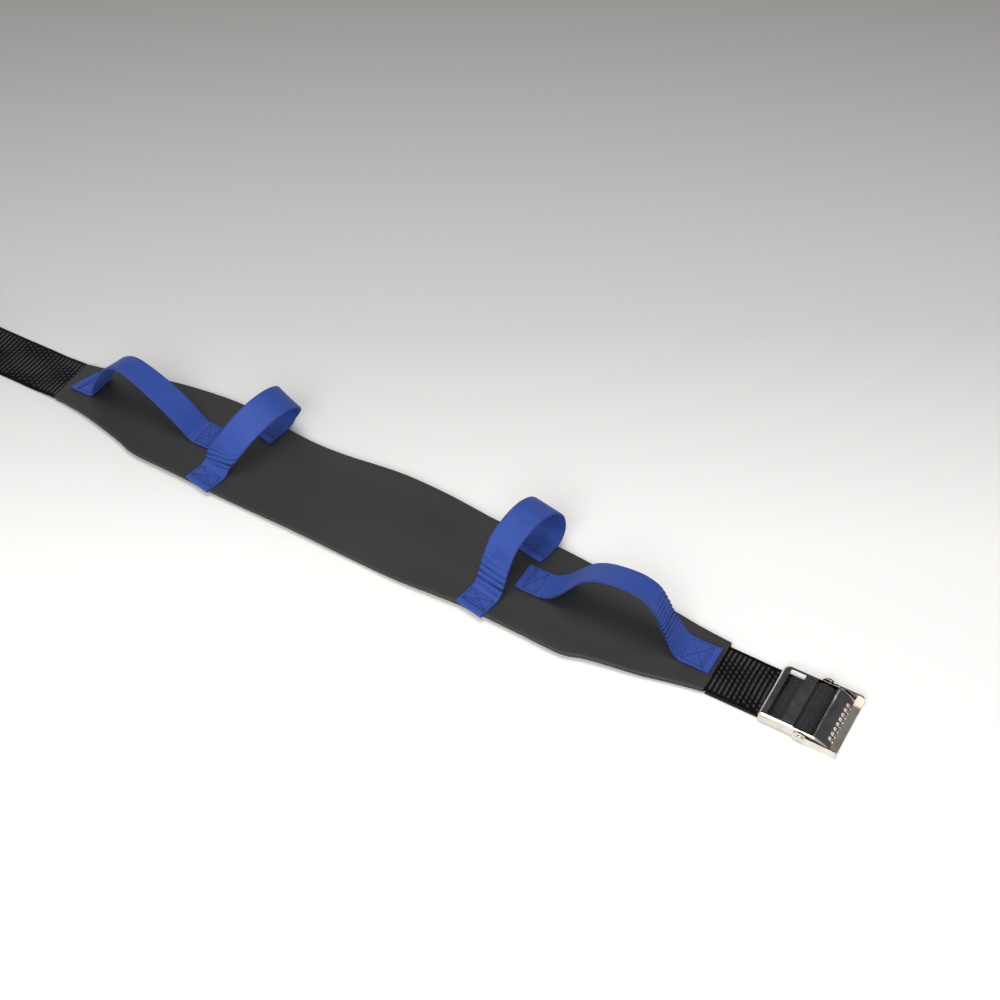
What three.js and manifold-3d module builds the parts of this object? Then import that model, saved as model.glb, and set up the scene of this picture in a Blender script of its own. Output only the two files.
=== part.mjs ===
// A gait belt: a padded vinyl belt with a webbing strap through it, a toothed cam buckle on one end,
// a free tail on the other, and four grab handles sewn on its outer face. Millimetres, +Z up.
// The belt lies on its back with its handles up. The origin is the centre of the pad's underside,
// +X runs along the belt towards the buckle and +Y across it.
import * as THREE from "three";
import { mergeVertices } from "three/addons/utils/BufferGeometryUtils.js";
import Module from "manifold-3d";

const wasm = await Module();
wasm.setup();

// Driving dimensions
const STRAP_WIDTH = 51; // two-inch webbing
const STRAP_THICK = 1.8;
const GAP = 0.3; // clearance between pieces that touch
const PAD_LENGTH = 667.6; // seam to seam
const PAD_WIDTH = 102;
const PAD_END_WIDTH = 52;
const COVER_THICK = 0.9;
const FOAM_THICK = 1.6;
const SEAM_INSET = 8; // the foam stops this far inside the sewn edge
const SKIRT_THICK = 1.2;
const HANDLE_WIDTH = 28.5;
const HANDLE_THICK = 2;
const THREAD_THICK = 0.5;
const THREAD_WIDTH = 1.1;
const PIN_X = 420; // hinge pin of the buckle
const PIN_Z = 6.2;
const PIN_RADIUS = 1.9;
const PIN_CLEARANCE = 0.25;
const BUCKLE_LENGTH = 69; // end bar to the open end of the base
const FRAME_WIDTH = 57; // outside the toothed frame's rails
const BASE_WIDTH = 61.6; // outside the base's ears
const SHEET_METAL = 1.4;
const BELT_LENGTH = 1372; // 54 inches, tail tip to buckle
const FOLD_CLEARANCE = 2; // from the pad's end to where the strap inside and outside it stops
const OVERCUT = 1; // how far a cutting solid reaches past what it cuts
const OUTLINE_STEPS = 5; // segments in each curved stretch of the pad's outline
const CORNER_STEPS = 4; // segments in each corner of a metal plate

// Heights of the layers, from the floor up
const STRAP_BASE = COVER_THICK + GAP;
const STRAP_TOP = STRAP_BASE + STRAP_THICK;
const FOAM_BASE = STRAP_TOP + GAP;
const COVER_BASE = FOAM_BASE + FOAM_THICK + GAP;
const PAD_TOP = COVER_BASE + COVER_THICK;
const TAB_MIDDLE = PAD_TOP + GAP + HANDLE_THICK / 2;
const TAB_TOP = TAB_MIDDLE + HANDLE_THICK / 2;
const PAD_END = PAD_LENGTH / 2;

// Materials
const finish = (color, roughness, metalness = 0) =>
  new THREE.MeshStandardMaterial({ color, roughness, metalness });
const vinyl = finish(0x2b2b2c, 0.6);
const lining = finish(0x222224, 0.8);
const foam = finish(0x5a5a5c, 0.95);
const blackWebbing = finish(0x16161a, 0.75);
const blueWebbing = finish(0x2a459b, 0.7);
const thread = finish(0x141c3c, 0.8);
const nickel = finish(0xcfccc6, 0.22, 1);

const belt = new THREE.Group();

// Adds a geometry to the belt as one named piece.
function add(name, geometry, material) {
  const mesh = new THREE.Mesh(geometry, material);
  mesh.name = name;
  belt.add(mesh);
  return mesh;
}

// A three.js geometry as a manifold solid, for cutting and joining.
function toSolid(geometry) {
  const bare = geometry.index ? geometry.toNonIndexed() : geometry.clone();
  bare.deleteAttribute("normal");
  bare.deleteAttribute("uv");
  const merged = mergeVertices(bare, 1e-4);
  return new wasm.Manifold(
    new wasm.Mesh({
      numProp: 3,
      vertProperties: merged.attributes.position.array,
      triVerts: new Uint32Array(merged.index.array),
    }),
  );
}

// A manifold solid back as a three.js geometry.
function fromSolid(solid) {
  const mesh = solid.getMesh();
  const geometry = new THREE.BufferGeometry();
  geometry.setAttribute("position", new THREE.BufferAttribute(mesh.vertProperties, 3));
  geometry.setIndex(new THREE.BufferAttribute(mesh.triVerts, 1));
  geometry.computeVertexNormals();
  return geometry;
}

// A box between two corners.
function boxBetween(low, high) {
  const size = high.map((value, i) => value - low[i]);
  const middle = high.map((value, i) => (value + low[i]) / 2);
  return new THREE.BoxGeometry(...size).translate(...middle);
}

// A flat shape in the XY plane, as a plate from one height to another.
function plate(shape, bottom, top, curveSegments = 12) {
  const settings = { depth: top - bottom, bevelEnabled: false, curveSegments };
  return new THREE.ExtrudeGeometry(shape, settings).translate(0, 0, bottom);
}

// A shape drawn in the XZ plane, given a width across the belt from one Y to another.
function sideProfile(shape, near, far, curveSegments = 12) {
  const settings = { depth: far - near, bevelEnabled: false, curveSegments };
  return new THREE.ExtrudeGeometry(shape, settings).rotateX(Math.PI / 2).translate(0, far, 0);
}

// A round bar or hole across the belt.
function crossBar(x, z, radius, length) {
  const sides = 28;
  return new THREE.CylinderGeometry(radius, radius, length, sides).translate(x, 0, z);
}

// ---- The pad: vinyl covers, foam, and the strap that runs through it ----

// How the pad tapers: shares of its half length, and of its half width there.
const PAD_TAPER = [
  [0.50, 1.0],
  [0.635, 0.975],
  [0.72, 0.855],
  [0.815, 0.7],
  [0.91, 0.6],
];

// The pad's outline: straight over the middle, then tapering to the strap's width at both ends.
function padOutline(inset) {
  const half = PAD_WIDTH / 2 - inset;
  const end = PAD_END_WIDTH / 2 - Math.min(inset, SKIRT_THICK);
  const tip = PAD_END - inset;
  const curve = [
    ...PAD_TAPER.map(([along, across]) => new THREE.Vector2(along * tip, across * half)),
    new THREE.Vector2(tip, end),
  ];
  const mirrored = (sx, sy) => curve.map((p) => new THREE.Vector2(sx * p.x, sy * p.y));
  const shape = new THREE.Shape();
  shape.moveTo(curve[0].x, curve[0].y);
  shape.splineThru(mirrored(1, 1).slice(1));
  shape.lineTo(tip, -end);
  shape.splineThru(mirrored(1, -1).reverse().slice(1));
  shape.lineTo(-curve[0].x, -curve[0].y);
  shape.splineThru(mirrored(-1, -1).slice(1));
  shape.lineTo(-tip, end);
  shape.splineThru(mirrored(-1, 1).reverse().slice(1));
  shape.closePath();
  return shape;
}

function backCover() {
  return plate(padOutline(0), 0, COVER_THICK, OUTLINE_STEPS);
}

function foamPad() {
  return plate(padOutline(SEAM_INSET), FOAM_BASE, FOAM_BASE + FOAM_THICK, OUTLINE_STEPS);
}

// The strap inside the pad; it stops short of the seams, where the two free ends fold.
function coreWebbing() {
  const end = PAD_END - FOLD_CLEARANCE;
  const side = STRAP_WIDTH / 2;
  return boxBetween([-end, -side, STRAP_BASE], [end, side, STRAP_TOP]);
}

// The front cover is a shallow tray: its edge turns down to the back cover, open at both ends
// where the strap comes out.
function frontCover() {
  const outer = toSolid(plate(padOutline(0), STRAP_BASE, PAD_TOP, OUTLINE_STEPS));
  const hollow = toSolid(plate(padOutline(SKIRT_THICK), 0, COVER_BASE, OUTLINE_STEPS));
  const mouth = PAD_END_WIDTH / 2 + OVERCUT;
  const reach = PAD_END + OVERCUT;
  const exits = toSolid(boxBetween([-reach, -mouth, 0], [reach, mouth, COVER_BASE]));
  return fromSolid(outer.subtract(hollow).subtract(exits));
}

add("front_cover", frontCover(), vinyl);
add("foam_pad", foamPad(), foam);
add("core_webbing", coreWebbing(), blackWebbing);
add("back_cover", backCover(), lining);

// ---- The two free stretches of strap ----

// A closed band in the XZ plane: a centre line with the webbing's thickness to each side of it.
function bandShape(points, thickness) {
  const half = thickness / 2;
  const sides = [half, -half].map((offset) =>
    points.map((point, i) => {
      const before = points[Math.max(i - 1, 0)];
      const after = points[Math.min(i + 1, points.length - 1)];
      const along = after.clone().sub(before).normalize();
      return new THREE.Vector2(point.x - along.y * offset, point.y + along.x * offset);
    }),
  );
  return new THREE.Shape([...sides[0], ...sides[1].reverse()]);
}

// Points on a circle in the XZ plane, from one angle to another.
function arcPoints(x, z, radius, from, to, count) {
  return Array.from({ length: count + 1 }, (_, i) => {
    const angle = from + ((to - from) * i) / count;
    return new THREE.Vector2(x + radius * Math.cos(angle), z + radius * Math.sin(angle));
  });
}

const STRAP_LOW = STRAP_THICK / 2; // middle of a layer of webbing lying on the floor
const STRAP_HIGH = STRAP_LOW + STRAP_THICK + GAP; // middle of the layer on top of it

// The tail lies straight out from the pad, and its far end is wound into a roll for storage.
const ROLL_CENTRE_X = -478;
const ROLL_PITCH = 2.2; // webbing thickness and the air between turns
const ROLL_CORE_RADIUS = 4;
const TAIL_LENGTH = BELT_LENGTH - PAD_LENGTH - (PIN_X - PAD_END) - BUCKLE_LENGTH / 2;
const TAIL_FLAT = -PAD_END - ROLL_CENTRE_X;
const ROLL_RADIUS = Math.sqrt(
  ((TAIL_LENGTH - TAIL_FLAT) * ROLL_PITCH) / Math.PI + ROLL_CORE_RADIUS ** 2,
);

function tailStrap() {
  const start = -PAD_END - FOLD_CLEARANCE;
  const settle = 14; // the length over which it comes down to the floor
  const points = [
    [start, STRAP_BASE + STRAP_THICK / 2],
    [start - settle / 2, (STRAP_BASE + STRAP_THICK / 2 + STRAP_LOW) / 2],
    [start - settle, STRAP_LOW],
    [ROLL_CENTRE_X + ROLL_RADIUS / 2, STRAP_LOW],
  ].map(([x, z]) => new THREE.Vector2(x, z));
  return sideProfile(bandShape(points, STRAP_THICK), -STRAP_WIDTH / 2, STRAP_WIDTH / 2);
}

// The wound end as one drum with a hollow core, clear of the stretch that feeds it.
function tailRoll() {
  const lift = STRAP_LOW + STRAP_THICK / 2 + GAP;
  const middle = lift + ROLL_RADIUS;
  const half = STRAP_WIDTH / 2;
  const profile = [
    [ROLL_CORE_RADIUS, -half],
    [ROLL_RADIUS, -half],
    [ROLL_RADIUS, half],
    [ROLL_CORE_RADIUS, half],
    [ROLL_CORE_RADIUS, -half],
  ].map(([r, y]) => new THREE.Vector2(r, y));
  const sides = 40;
  return new THREE.LatheGeometry(profile, sides).translate(ROLL_CENTRE_X, 0, middle);
}

// The buckle's strap runs out over its own return, wraps the hinge pin and comes back underneath.
function buckleStrap() {
  const start = PAD_END + FOLD_CLEARANCE;
  const wrap = PIN_RADIUS + PIN_CLEARANCE + STRAP_THICK / 2;
  const rise = 16; // the length over which the top layer climbs to the pin
  const hidden = 8; // the return layer stops this far short of the other, clear of the pad
  const wrapAngle = Math.PI * 0.62; // above and below the line from the pin to the open end
  const wrapSteps = 16;
  const points = [
    new THREE.Vector2(start, STRAP_HIGH),
    new THREE.Vector2(PIN_X - rise, STRAP_HIGH),
    new THREE.Vector2(PIN_X - rise / 2, (STRAP_HIGH + PIN_Z + wrap) / 2),
    ...arcPoints(PIN_X, PIN_Z, wrap, wrapAngle, -wrapAngle, wrapSteps),
    new THREE.Vector2(PIN_X - rise / 2, STRAP_LOW),
    new THREE.Vector2(start + hidden, STRAP_LOW),
  ];
  return sideProfile(bandShape(points, STRAP_THICK), -STRAP_WIDTH / 2, STRAP_WIDTH / 2);
}

add("tail_strap", tailStrap(), blackWebbing);
add("tail_roll", tailRoll(), blackWebbing);
add("buckle_strap", buckleStrap(), blackWebbing);

// ---- The buckle: a toothed frame and a base, both swinging on one pin ----

const FRAME_TOP = 11.2;
const FRAME_LEFT = PIN_X - 38;
const FRAME_BEND = PIN_X + 11; // where the top plate turns down towards the teeth
const TOOTH_TIP_X = PIN_X + 23.5;
const TOOTH_TIP_Z = 3.4;
const RAIL_BOTTOM = 2.4;
const TOOTH_COUNT = 9;
const TOOTH_DEPTH = 4.2;
const TOOTH_ROW_HALF = 22.5; // from the middle of the plate to the outermost tooth's root
const SLOT = [FRAME_LEFT + 6.7, FRAME_LEFT + 19.6]; // where the tail threads through the frame
const WINDOW = [FRAME_LEFT + 29.8, FRAME_BEND - 0.6]; // the opening over the pin
const ARCH = [FRAME_LEFT + 5.5, FRAME_LEFT + 20.8]; // where the far rail is cut away beside the slot
const ARCH_TOP = 7.8;
const BASE_LEFT = PIN_X - 8.4;
const BASE_RIGHT = PIN_X + 31;
const BASE_PLATE_LEFT = PIN_X + 8.5; // clear of the strap's loop when the base swings open
const EAR_RADIUS = 6;
const WALL_HEIGHT = 8.2;

function roundedRectangle(x0, y0, x1, y1, radius, Kind = THREE.Shape) {
  const shape = new Kind();
  shape.moveTo(x0 + radius, y0);
  shape.lineTo(x1 - radius, y0);
  shape.quadraticCurveTo(x1, y0, x1, y0 + radius);
  shape.lineTo(x1, y1 - radius);
  shape.quadraticCurveTo(x1, y1, x1 - radius, y1);
  shape.lineTo(x0 + radius, y1);
  shape.quadraticCurveTo(x0, y1, x0, y1 - radius);
  shape.lineTo(x0, y0 + radius);
  shape.quadraticCurveTo(x0, y0, x0 + radius, y0);
  return shape;
}

// The frame's top plate with its strap slot and the wider opening over the pin.
function frameTopPlate() {
  const half = FRAME_WIDTH / 2;
  const inner = half - 2.2;
  const cornerRadius = 3;
  const holeRadius = 1.5;
  const shape = roundedRectangle(FRAME_LEFT, -half, FRAME_BEND + OVERCUT, half, cornerRadius);
  for (const [left, right] of [SLOT, WINDOW]) {
    shape.holes.push(roundedRectangle(left, -inner, right, inner, holeRadius, THREE.Path));
  }
  return plate(shape, FRAME_TOP - SHEET_METAL, FRAME_TOP, CORNER_STEPS);
}

// One side rail: deep at the strap end, shallower past the pin, where it follows the toothed plate.
function frameRail(side) {
  const shape = new THREE.Shape();
  shape.moveTo(FRAME_LEFT + 0.5, RAIL_BOTTOM + 1.5);
  shape.quadraticCurveTo(FRAME_LEFT + 0.5, RAIL_BOTTOM, FRAME_LEFT + 3, RAIL_BOTTOM);
  shape.lineTo(PIN_X + 3, RAIL_BOTTOM - 0.2);
  shape.lineTo(TOOTH_TIP_X - 4, RAIL_BOTTOM + 0.6);
  shape.lineTo(TOOTH_TIP_X - 3, TOOTH_TIP_Z + 3.4);
  shape.lineTo(FRAME_BEND + 1, FRAME_TOP - 0.2);
  shape.lineTo(FRAME_LEFT + 0.5, FRAME_TOP - 0.2);
  shape.closePath();
  const outer = (side * FRAME_WIDTH) / 2;
  const inner = outer - side * SHEET_METAL;
  return sideProfile(shape, Math.min(outer, inner), Math.max(outer, inner));
}

// The sloping plate, cut into a comb of teeth along its lower edge.
function toothedPlate() {
  const half = FRAME_WIDTH / 2 - SHEET_METAL / 2;
  const rowHalf = TOOTH_ROW_HALF;
  const run = TOOTH_TIP_X - FRAME_BEND;
  const fall = FRAME_TOP - SHEET_METAL / 2 - TOOTH_TIP_Z;
  const slope = Math.atan2(fall, run);
  const length = Math.hypot(run, fall);
  const root = length - TOOTH_DEPTH;
  const pitch = (2 * rowHalf) / TOOTH_COUNT;
  const shoulder = root - 1;
  const blunt = 0.35; // share of the pitch from a tooth's root to its blunt tip, on each side
  const shape = new THREE.Shape();
  shape.moveTo(0, -half);
  shape.lineTo(shoulder, -half);
  shape.lineTo(root, -rowHalf);
  for (let i = 0; i < TOOTH_COUNT; i += 1) {
    const start = -rowHalf + i * pitch;
    shape.lineTo(length, start + pitch * blunt);
    shape.lineTo(length, start + pitch * (1 - blunt));
    shape.lineTo(root, start + pitch);
  }
  shape.lineTo(shoulder, half);
  shape.lineTo(0, half);
  shape.closePath();
  const settings = { depth: SHEET_METAL, bevelEnabled: false };
  return new THREE.ExtrudeGeometry(shape, settings)
    .translate(0, 0, -SHEET_METAL / 2)
    .rotateY(slope)
    .translate(FRAME_BEND, 0, FRAME_TOP - SHEET_METAL / 2);
}

// The hole for the pin, through both rails and both ears.
function pinHole() {
  const length = BASE_WIDTH + 4 * OVERCUT;
  return toSolid(crossBar(PIN_X, PIN_Z, PIN_RADIUS + PIN_CLEARANCE, length));
}

// What is cut out of the far rail, beside the slot.
function railArch() {
  const outer = FRAME_WIDTH / 2;
  const low = [ARCH[0], outer - SHEET_METAL - OVERCUT, 0];
  const high = [ARCH[1], outer + OVERCUT, ARCH_TOP];
  return toSolid(boxBetween(low, high));
}

function toothedFrame() {
  return fromSolid(
    toSolid(frameTopPlate())
      .add(toSolid(frameRail(1)))
      .add(toSolid(frameRail(-1)))
      .add(toSolid(toothedPlate()))
      .subtract(pinHole())
      .subtract(railArch()),
  );
}

// One side wall of the base: a round ear about the pin, running out to the open end.
function baseWall(side) {
  const corner = 3;
  const shape = new THREE.Shape();
  shape.moveTo(BASE_PLATE_LEFT, 0);
  shape.lineTo(BASE_RIGHT - corner, 0);
  shape.quadraticCurveTo(BASE_RIGHT, 0, BASE_RIGHT, corner);
  shape.lineTo(BASE_RIGHT, WALL_HEIGHT - corner);
  shape.quadraticCurveTo(BASE_RIGHT, WALL_HEIGHT, BASE_RIGHT - corner, WALL_HEIGHT);
  shape.lineTo(PIN_X + 7, WALL_HEIGHT);
  shape.absarc(PIN_X - 1, PIN_Z, EAR_RADIUS, Math.PI * 0.13, Math.PI * 1.3, false);
  shape.closePath();
  const outer = (side * BASE_WIDTH) / 2;
  const inner = outer - side * SHEET_METAL;
  const earSteps = 14;
  return sideProfile(shape, Math.min(outer, inner), Math.max(outer, inner), earSteps);
}

function baseJaw() {
  const half = BASE_WIDTH / 2;
  const corner = 1.5;
  const outline = roundedRectangle(BASE_PLATE_LEFT, -half, BASE_RIGHT, half, corner);
  const floorPlate = plate(outline, 0, SHEET_METAL, CORNER_STEPS);
  return fromSolid(
    toSolid(floorPlate).add(toSolid(baseWall(1))).add(toSolid(baseWall(-1))).subtract(pinHole()),
  );
}

// The pin, with a flat riveted head outside each ear.
function hingePin() {
  const headThick = 0.8;
  const headRadius = PIN_RADIUS + 1.3;
  const headY = BASE_WIDTH / 2 + GAP + headThick / 2;
  let pin = toSolid(crossBar(PIN_X, PIN_Z, PIN_RADIUS, BASE_WIDTH + 2 * GAP + headThick));
  for (const side of [-1, 1]) {
    const head = crossBar(PIN_X, PIN_Z, headRadius, headThick).translate(0, side * headY, 0);
    pin = pin.add(toSolid(head));
  }
  return fromSolid(pin);
}

add("buckle_toothed_frame", toothedFrame(), nickel);
add("buckle_base_jaw", baseJaw(), nickel);
add("buckle_hinge_pin", hingePin(), nickel);

// ---- The four grab handles: bands of webbing standing up from two sewn tabs ----

const TWIST_HEIGHT = 34; // over this height a handle turns from flat to its full lean
const LOOP_START_HEIGHT = 10; // above this it moves with the hand; below it the webbing only twists
const LOOP_STEPS = 30;
const TAB_STEPS = 8;

// Each centre line is (distance along the chord, height above the tab), tab to tab, with how far
// the band rolls about its own length where it isn't level, in degrees, the far edge going down.
// sewnAt is where the chord starts on the pad, heading is its direction from +X in degrees,
// and lean tips the loop about the chord, also in degrees.
const lengthwiseLeft = [
  [-24, 0], [-12, 0], [-2, 0], [2.5, 2, 2], [6, 10, 9], [14, 27, 16], [25, 42.5, 17],
  [39, 49.5, 15], [54, 45.5, 10], [76, 33.5, 3], [95, 19], [106, 8], [113, 1.5], [118, 0],
  [128, 0], [140, 0],
];
const lengthwiseRight = [
  [-21, 0], [-10, 0], [-1, 0], [5, 1.2], [14, 7], [23, 17, 2], [32, 29, 5], [41, 40.5, 9],
  [53, 49, 12], [69, 53.5, 14], [86, 54, 15], [99, 49, 15], [108, 38.5, 14], [115, 25, 12],
  [122, 12.5, 8], [128, 3.5, 3], [133, 0], [145, 0], [160, 0],
];
const crosswise = [
  [-23, 0], [-11, 0], [-3, 0.2], [2, 3], [6.5, 11], [13.5, 28], [23, 43], [36, 50],
  [49, 53], [62, 52], [76, 45], [86, 31], [88.5, 15], [85, 5.5], [80, 1.4], [74, 0.3], [66, 0],
  [55, 0],
];
const handles = [
  { name: "handle_1", line: lengthwiseLeft, sewnAt: [-303, 4], heading: 0, lean: 0 },
  { name: "handle_2", line: crosswise, sewnAt: [-148, -28], heading: 79.5, lean: 20 },
  { name: "handle_3", line: crosswise, sewnAt: [132.5, -28], heading: 79.5, lean: 0 },
  { name: "handle_4", line: lengthwiseRight, sewnAt: [171, 3.5], heading: 0, lean: 0 },
];

const radians = THREE.MathUtils.degToRad;

// The handle's frame at each point of its line: its place, and the direction of its width.
function handleCurves({ line, sewnAt, heading, lean }) {
  const along = new THREE.Vector3(Math.cos(radians(heading)), Math.sin(radians(heading)), 0);
  const across = new THREE.Vector3(-along.y, along.x, 0);
  const places = [];
  const widths = [];
  for (const [distance, height, roll = 0] of line) {
    const share = THREE.MathUtils.smoothstep(height, 0, TWIST_HEIGHT);
    const tip = -radians(lean) * share;
    const turn = tip + radians(roll);
    const up = new THREE.Vector3(0, 0, Math.cos(tip)).addScaledVector(across, Math.sin(tip));
    const place = new THREE.Vector3(sewnAt[0], sewnAt[1], TAB_MIDDLE);
    place.addScaledVector(along, distance).addScaledVector(up, height);
    places.push(place);
    widths.push(new THREE.Vector3(0, 0, -Math.sin(turn)).addScaledVector(across, Math.cos(turn)));
  }
  return {
    places: new THREE.CatmullRomCurve3(places, false, "centripetal"),
    widths: new THREE.CatmullRomCurve3(widths, false, "catmullrom", 0.2),
  };
}

// A flat band bent along the curves: a box whose length follows them from one share to another.
function bentBand(curves, from, to, steps) {
  const band = new THREE.BoxGeometry(1, 1, 1, 1, 1, steps);
  const position = band.attributes.position;
  for (let i = 0; i < position.count; i += 1) {
    const share = from + (to - from) * (position.getZ(i) + 0.5);
    const t = curves.places.getUtoTmapping(share);
    const tangent = curves.places.getTangent(t);
    const width = curves.widths.getPoint(t);
    width.addScaledVector(tangent, -width.dot(tangent)).normalize();
    const normal = tangent.clone().cross(width);
    const point = curves.places.getPoint(t);
    point.z = Math.max(point.z, TAB_MIDDLE);
    point.addScaledVector(width, position.getX(i) * HANDLE_WIDTH);
    point.addScaledVector(normal, position.getY(i) * HANDLE_THICK);
    position.setXYZ(i, point.x, point.y, point.z);
  }
  return band;
}

// The share of the curve at which the band first rises above a height, searched from either end.
function shareAtHeight(curve, height, fromEnd) {
  const samples = 400;
  for (let i = 0; i <= samples; i += 1) {
    const share = fromEnd ? 1 - i / samples : i / samples;
    if (curve.getPointAt(share).z > TAB_MIDDLE + height) return share;
  }
  throw new Error("the handle never rises that high");
}

// The box-and-cross of thread that holds a tab down, lying on top of it.
function boxStitch(length) {
  const endMargin = 3.5;
  const sideMargin = 3;
  const half = length / 2 - endMargin;
  const side = HANDLE_WIDTH / 2 - sideMargin;
  const outline = new THREE.Shape([
    new THREE.Vector2(-half, -side),
    new THREE.Vector2(half, -side),
    new THREE.Vector2(half, side),
    new THREE.Vector2(-half, side),
  ]);
  const w = THREAD_WIDTH;
  const diagonal = w * 1.3;
  const corners = [[-1, -1], [1, -1], [1, 1], [-1, 1]];
  corners.forEach(([sx, sy], i) => {
    const [nx, ny] = corners[(i + 1) % corners.length];
    const outX = (sx + nx) / 2;
    const outY = (sy + ny) / 2;
    const hole = new THREE.Path();
    const edgeX = half - w;
    const edgeY = side - w;
    const trim = (sign, edge, amount) => sign * (edge - amount);
    hole.moveTo(trim(sx, edgeX, outX ? 0 : diagonal), trim(sy, edgeY, outY ? 0 : diagonal));
    hole.lineTo(trim(nx, edgeX, outX ? 0 : diagonal), trim(ny, edgeY, outY ? 0 : diagonal));
    hole.lineTo(outX * diagonal, outY * diagonal);
    hole.closePath();
    outline.holes.push(hole);
  });
  return plate(outline, 0, THREAD_THICK);
}

for (const handle of handles) {
  const curves = handleCurves(handle);
  const last = handle.line.length - 1;
  const start = shareAtHeight(curves.places, LOOP_START_HEIGHT, false);
  const end = shareAtHeight(curves.places, LOOP_START_HEIGHT, true);
  const length = curves.places.getLength();
  const slack = GAP / length;
  add(handle.name + "_loop", bentBand(curves, start + slack, end - slack, LOOP_STEPS), blueWebbing);
  add(handle.name + "_first_tab", bentBand(curves, 0, start - slack, TAB_STEPS), blueWebbing);
  add(handle.name + "_second_tab", bentBand(curves, end + slack, 1, TAB_STEPS), blueWebbing);
  const ends = [
    ["_first_stitch", handle.line[0][0], handle.line[2][0]],
    ["_second_stitch", handle.line[last - 2][0], handle.line[last][0]],
  ];
  for (const [suffix, near, far] of ends) {
    const stitch = add(handle.name + suffix, boxStitch(Math.abs(far - near)), thread);
    const middle = (near + far) / 2;
    const angle = radians(handle.heading);
    stitch.position.set(
      handle.sewnAt[0] + Math.cos(angle) * middle,
      handle.sewnAt[1] + Math.sin(angle) * middle,
      TAB_TOP + GAP,
    );
    stitch.rotation.z = angle;
  }
}

export default belt;
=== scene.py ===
"""A gait belt: padded vinyl body, ribbed strap, four blue webbing handles and a toothed cam buckle.
Metres, +Z up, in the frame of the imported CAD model. +X runs along the belt towards the buckle."""
import math

import bmesh
import bpy
import numpy as np
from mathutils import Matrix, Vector


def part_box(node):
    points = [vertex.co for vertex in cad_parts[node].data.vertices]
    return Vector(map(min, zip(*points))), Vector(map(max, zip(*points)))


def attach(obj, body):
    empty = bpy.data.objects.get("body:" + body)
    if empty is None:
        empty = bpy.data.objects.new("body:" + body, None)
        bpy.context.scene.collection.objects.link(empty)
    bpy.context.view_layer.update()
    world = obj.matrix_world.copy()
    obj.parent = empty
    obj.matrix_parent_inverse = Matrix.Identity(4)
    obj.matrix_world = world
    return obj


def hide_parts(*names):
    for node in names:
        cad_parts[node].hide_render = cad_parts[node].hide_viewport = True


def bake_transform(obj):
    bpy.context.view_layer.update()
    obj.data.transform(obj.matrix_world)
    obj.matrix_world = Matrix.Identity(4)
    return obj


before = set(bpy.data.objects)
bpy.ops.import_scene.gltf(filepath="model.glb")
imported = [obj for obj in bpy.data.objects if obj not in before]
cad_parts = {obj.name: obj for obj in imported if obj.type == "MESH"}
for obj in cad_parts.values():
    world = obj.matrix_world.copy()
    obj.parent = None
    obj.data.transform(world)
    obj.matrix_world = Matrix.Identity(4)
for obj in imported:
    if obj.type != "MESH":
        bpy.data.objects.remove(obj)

MM = 0.001
UP = np.array([0.0, 0.0, 1.0])
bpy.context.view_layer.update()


# ---------------- places taken from the frame

def span(node):
    """A node's lowest and highest corner, in millimetres."""
    low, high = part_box(node)
    return np.array(low) / MM, np.array(high) / MM


COVER_HIGH = span("front_cover")[1]
CORE_LOW, CORE_HIGH = span("core_webbing")
ROLL_LOW, ROLL_HIGH = span("tail_roll")
PIN_LOW, PIN_HIGH = span("buckle_hinge_pin")
FRAME_LOW, FRAME_HIGH = span("buckle_toothed_frame")
BASE_LOW, BASE_HIGH = span("buckle_base_jaw")

PAD_END = COVER_HIGH[0]
PAD_TOP = COVER_HIGH[2]
STRAP_WIDTH = CORE_HIGH[1] - CORE_LOW[1]
STRAP_THICK = CORE_HIGH[2] - CORE_LOW[2]
PIN_X = (PIN_LOW[0] + PIN_HIGH[0]) / 2
PIN_Z = (PIN_LOW[2] + PIN_HIGH[2]) / 2
HANDLE_WIDTH = 28.5
HANDLE_THICK = 2.0
TAB_MIDDLE = PAD_TOP + 0.3 + HANDLE_THICK / 2


# ---------------- camera

CAMERA_AZIMUTH = math.radians(29.99)
CAMERA_ELEVATION = math.radians(48.29)
CAMERA_DISTANCE = 1.5948
CAMERA_TARGET = Vector((0.0872, 0.0740, 0.0))
CAMERA_LENS = 64.8


def link(obj):
    bpy.context.scene.collection.objects.link(obj)
    return obj


def make_camera():
    data = bpy.data.cameras.new("camera")
    data.lens = CAMERA_LENS
    data.sensor_width = 36
    data.clip_start = 0.01
    camera = link(bpy.data.objects.new("camera", data))
    flat = math.cos(CAMERA_ELEVATION)
    back = Vector((
        math.sin(CAMERA_AZIMUTH) * flat,
        -math.cos(CAMERA_AZIMUTH) * flat,
        math.sin(CAMERA_ELEVATION),
    ))
    camera.location = CAMERA_TARGET + back * CAMERA_DISTANCE
    camera.rotation_euler = (-back).to_track_quat("-Z", "Y").to_euler()
    bpy.context.scene.camera = camera


make_camera()


# ---------------- node helpers

def new_material(name, color, roughness, metallic=0.0):
    material = bpy.data.materials.new(name)
    material.use_nodes = True
    tree = material.node_tree
    shader = tree.nodes["Principled BSDF"]
    shader.inputs["Base Color"].default_value = (*color, 1)
    shader.inputs["Roughness"].default_value = roughness
    shader.inputs["Metallic"].default_value = metallic
    return material, tree, shader


def node(tree, kind, **values):
    """A new node; a keyword sets an attribute, or an input where its name starts with in_."""
    made = tree.nodes.new(kind)
    for key, value in values.items():
        if key.startswith("in_"):
            made.inputs[key[3:].replace("_", " ")].default_value = value
        else:
            setattr(made, key, value)
    return made


def join(tree, source, target):
    tree.links.new(source, target)


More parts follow.
